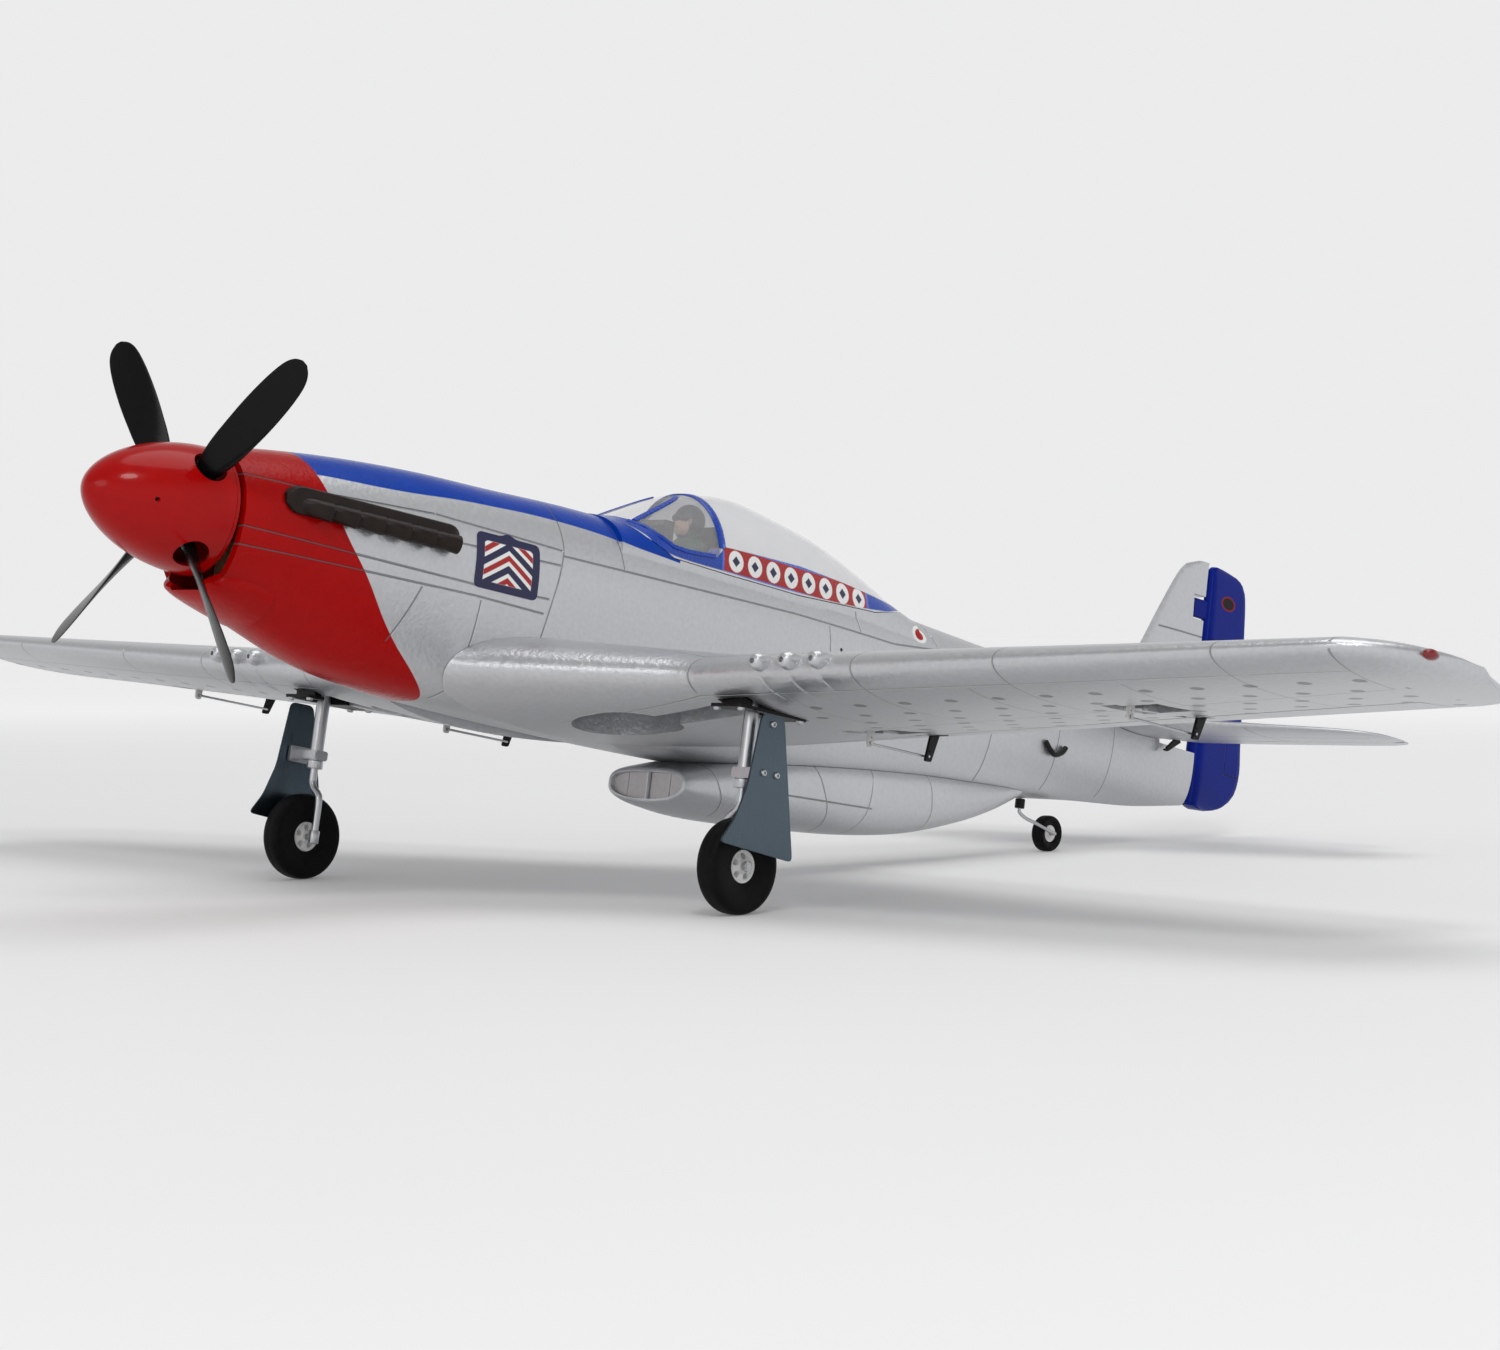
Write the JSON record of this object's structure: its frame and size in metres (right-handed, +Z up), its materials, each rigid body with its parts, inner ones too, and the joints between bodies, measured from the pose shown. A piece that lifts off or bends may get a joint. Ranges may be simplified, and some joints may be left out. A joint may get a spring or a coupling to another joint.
{
  "type": "radio-controlled warbird plane",
  "caption": "Electric radio-controlled warbird with a four-blade propeller, moving control surfaces, folding sprung undercarriage and a lift-off canopy hatch",
  "frame": {"origin": "middle of the bounding box, on the ground under the wheels", "axes": "+X to the left wing tip, -Y out of the nose, +Z up; the plane stands tail down"},
  "size_m": [1.2, 1.0452, 0.3135],
  "materials": {
    "silver_paint": "satin silver paint over foam",
    "red_paint": "gloss red paint",
    "blue_paint": "semi-gloss blue paint",
    "clear_canopy": "clear moulded canopy",
    "black_plastic": "moulded black nylon",
    "white_plastic": "moulded white nylon",
    "bare_steel": "plain steel wire and rod",
    "door_metal": "brushed sheet",
    "tyre_foam": "solid black tyre",
    "exhaust_paint": "dark burnt-metal paint",
    "plywood": "light plywood",
    "battery_wrap": "shrink wrap",
    "motor_metal": "machined motor case",
    "winding": "enamelled copper winding",
    "carbon_tube": "carbon fibre tube",
    "pilot_paint": "painted plastic figure",
    "blade_plastic": "glass-filled nylon, satin black"
  },
  "bodies": {
    "airframe": {"wing_left": "silver_paint", "wing_right": "silver_paint", "spar_tube": "carbon_tube", "aileron_servo_left": "black_plastic", "aileron_servo_right": "black_plastic", "flap_servo_left": "black_plastic", "flap_servo_right": "black_plastic", "retract_unit_left": "black_plastic", "retract_unit_right": "black_plastic", "motor_stator": "winding", "fuselage": "silver_paint", "exhaust_stack_left": "exhaust_paint", "exhaust_stack_right": "exhaust_paint", "belly_scoop": "silver_paint", "stabiliser": "silver_paint", "motor_mount": "plywood", "battery_tray": "plywood", "battery": "battery_wrap", "speed_controller": "battery_wrap", "receiver": "black_plastic", "elevator_servo": "black_plastic", "rudder_servo": "black_plastic"},
    "hatch": {"hatch_frame": "blue_paint", "canopy_glass": "clear_canopy", "cockpit_tub": "black_plastic", "pilot_figure": "pilot_paint"},
    "propeller": {"motor_rotor": "motor_metal", "spinner_cone": "red_paint", "propeller_hub": "red_paint", "propeller_nut": "bare_steel", "propeller_blade_1": "blade_plastic", "propeller_blade_2": "blade_plastic", "propeller_blade_3": "blade_plastic", "propeller_blade_4": "blade_plastic"},
    "elevator": {"elevator": "silver_paint"},
    "rudder": {"rudder": "blue_paint"},
    "tail_steering": {"tail_leg": "bare_steel"},
    "tail_roller": {"tail_wheel": "tyre_foam"},
    "left_aileron": {"aileron_left": "silver_paint"},
    "left_flap": {"flap_left": "silver_paint"},
    "left_aileron_arm": {"aileron_servo_arm_left": "white_plastic"},
    "left_flap_arm": {"flap_servo_arm_left": "white_plastic"},
    "left_aileron_rod": {"aileron_pushrod_left": "bare_steel"},
    "left_flap_rod": {"flap_pushrod_left": "bare_steel"},
    "left_gear_leg": {"upper_leg_left": "bare_steel", "gear_door_left": "door_metal"},
    "left_sliding_leg": {"lower_leg_left": "bare_steel"},
    "left_main_wheel": {"main_hub_left": "white_plastic", "main_tyre_left": "tyre_foam"},
    "right_aileron": {"aileron_right": "silver_paint"},
    "right_flap": {"flap_right": "silver_paint"},
    "right_aileron_arm": {"aileron_servo_arm_right": "white_plastic"},
    "right_flap_arm": {"flap_servo_arm_right": "white_plastic"},
    "right_aileron_rod": {"aileron_pushrod_right": "bare_steel"},
    "right_flap_rod": {"flap_pushrod_right": "bare_steel"},
    "right_gear_leg": {"upper_leg_right": "bare_steel", "gear_door_right": "door_metal"},
    "right_sliding_leg": {"lower_leg_right": "bare_steel"},
    "right_main_wheel": {"main_hub_right": "white_plastic", "main_tyre_right": "tyre_foam"}
  },
  "joints": [
    {"name": "propeller_spin", "type": "hinge", "parent": "airframe", "child": "propeller", "pos_m": [0, -0.46554, 0.22101], "axis": [0, -0.9838, 0.1795], "continuous": true},
    {"name": "hatch_lift", "type": "slide", "parent": "airframe", "child": "hatch", "axis": [0, 0.1795, 0.9838], "range_m": [0, 0.08]},
    {"name": "aileron_left_hinge", "type": "hinge", "parent": "airframe", "child": "left_aileron", "pos_m": [0.394, -0.09189, 0.11408], "axis": [0.9864, -0.1521, 0.0623], "range_deg": [-25, 25]},
    {"name": "aileron_arm_left_turn", "type": "hinge", "parent": "airframe", "child": "left_aileron_arm", "pos_m": [0.394, -0.14971, 0.12463], "axis": [0.9864, -0.1521, 0.0623], "range_deg": [-25, 25]},
    {"name": "aileron_rod_left_turn", "type": "hinge", "parent": "left_aileron_arm", "child": "left_aileron_rod", "pos_m": [0.394, -0.15235, 0.11017], "axis": [0.9864, -0.1521, 0.0623], "range_deg": [-25, 25]},
    {"name": "flap_left_hinge", "type": "hinge", "parent": "airframe", "child": "left_flap", "pos_m": [0.182, -0.05918, 0.10082], "axis": [0.9865, -0.1524, 0.0607], "range_deg": [-40, 0]},
    {"name": "flap_arm_left_turn", "type": "hinge", "parent": "airframe", "child": "left_flap_arm", "pos_m": [0.182, -0.11066, 0.11022], "axis": [0.9865, -0.1524, 0.0607], "range_deg": [-40, 0]},
    {"name": "flap_rod_left_turn", "type": "hinge", "parent": "left_flap_arm", "child": "left_flap_rod", "pos_m": [0.182, -0.11425, 0.09054], "axis": [0.9865, -0.1524, 0.0607], "range_deg": [0, 40]},
    {"name": "aileron_right_hinge", "type": "hinge", "parent": "airframe", "child": "right_aileron", "pos_m": [-0.394, -0.09189, 0.11408], "axis": [0.9864, 0.1521, -0.0623], "range_deg": [-25, 25]},
    {"name": "aileron_arm_right_turn", "type": "hinge", "parent": "airframe", "child": "right_aileron_arm", "pos_m": [-0.394, -0.14971, 0.12463], "axis": [0.9864, 0.1521, -0.0623], "range_deg": [-25, 25]},
    {"name": "aileron_rod_right_turn", "type": "hinge", "parent": "right_aileron_arm", "child": "right_aileron_rod", "pos_m": [-0.394, -0.15235, 0.11017], "axis": [0.9864, 0.1521, -0.0623], "range_deg": [-25, 25]},
    {"name": "flap_right_hinge", "type": "hinge", "parent": "airframe", "child": "right_flap", "pos_m": [-0.182, -0.05918, 0.10082], "axis": [0.9865, 0.1524, -0.0607], "range_deg": [-40, 0]},
    {"name": "flap_arm_right_turn", "type": "hinge", "parent": "airframe", "child": "right_flap_arm", "pos_m": [-0.182, -0.11066, 0.11022], "axis": [0.9865, 0.1524, -0.0607], "range_deg": [-40, 0]},
    {"name": "flap_rod_right_turn", "type": "hinge", "parent": "right_flap_arm", "child": "right_flap_rod", "pos_m": [-0.182, -0.11425, 0.09054], "axis": [0.9865, 0.1524, -0.0607], "range_deg": [0, 40]},
    {"name": "elevator_hinge", "type": "hinge", "parent": "airframe", "child": "elevator", "pos_m": [0, 0.40501, 0.07843], "axis": [1, 0, 0], "range_deg": [-20, 20]},
    {"name": "rudder_hinge", "type": "hinge", "parent": "airframe", "child": "rudder", "pos_m": [0, 0.45914, 0.11328], "axis": [0, 0.1795, 0.9838], "range_deg": [-25, 25]},
    {"name": "tail_leg_turn", "type": "hinge", "parent": "airframe", "child": "tail_steering", "pos_m": [0, 0.25248, 0.03917], "axis": [0, 0.1795, 0.9838], "range_deg": [-25, 25]},
    {"name": "tail_wheel_roll", "type": "hinge", "parent": "tail_steering", "child": "tail_roller", "pos_m": [0, 0.28167, 0.0125], "axis": [1, 0, 0], "continuous": true},
    {"name": "retract_left_turn", "type": "hinge", "parent": "airframe", "child": "left_gear_leg", "pos_m": [0.184, -0.21131, 0.12684], "axis": [0, 0.9838, -0.1795], "range_deg": [0, 84]},
    {"name": "strut_left_slide", "type": "slide", "parent": "left_gear_leg", "child": "left_sliding_leg", "axis": [0, 0.1795, 0.9838], "range_m": [0, 0.008], "stiffness_N_per_m": 2000, "springref_m": -0.008},
    {"name": "main_wheel_left_roll", "type": "hinge", "parent": "left_sliding_leg", "child": "left_main_wheel", "pos_m": [0.187, -0.22962, 0.0265], "axis": [1, 0, 0], "continuous": true},
    {"name": "retract_right_turn", "type": "hinge", "parent": "airframe", "child": "right_gear_leg", "pos_m": [-0.184, -0.21131, 0.12684], "axis": [0, -0.9838, 0.1795], "range_deg": [0, 84]},
    {"name": "strut_right_slide", "type": "slide", "parent": "right_gear_leg", "child": "right_sliding_leg", "axis": [0, 0.1795, 0.9838], "range_m": [0, 0.008], "stiffness_N_per_m": 2000, "springref_m": -0.008},
    {"name": "main_wheel_right_roll", "type": "hinge", "parent": "right_sliding_leg", "child": "right_main_wheel", "pos_m": [-0.187, -0.22962, 0.0265], "axis": [1, 0, 0], "continuous": true}
  ],
  "couplings": [
    {"joint": "aileron_arm_left_turn", "follows": "aileron_left_hinge", "ratio": 1},
    {"joint": "aileron_rod_left_turn", "follows": "aileron_left_hinge", "ratio": -1},
    {"joint": "flap_arm_left_turn", "follows": "flap_left_hinge", "ratio": 1},
    {"joint": "flap_rod_left_turn", "follows": "flap_left_hinge", "ratio": -1},
    {"joint": "aileron_right_hinge", "follows": "aileron_left_hinge", "ratio": -1},
    {"joint": "aileron_arm_right_turn", "follows": "aileron_left_hinge", "ratio": -1},
    {"joint": "aileron_rod_right_turn", "follows": "aileron_left_hinge", "ratio": 1},
    {"joint": "flap_right_hinge", "follows": "flap_left_hinge", "ratio": 1},
    {"joint": "flap_arm_right_turn", "follows": "flap_left_hinge", "ratio": 1},
    {"joint": "flap_rod_right_turn", "follows": "flap_left_hinge", "ratio": -1},
    {"joint": "tail_leg_turn", "follows": "rudder_hinge", "ratio": 1},
    {"joint": "retract_right_turn", "follows": "retract_left_turn", "ratio": 1}
  ]
}
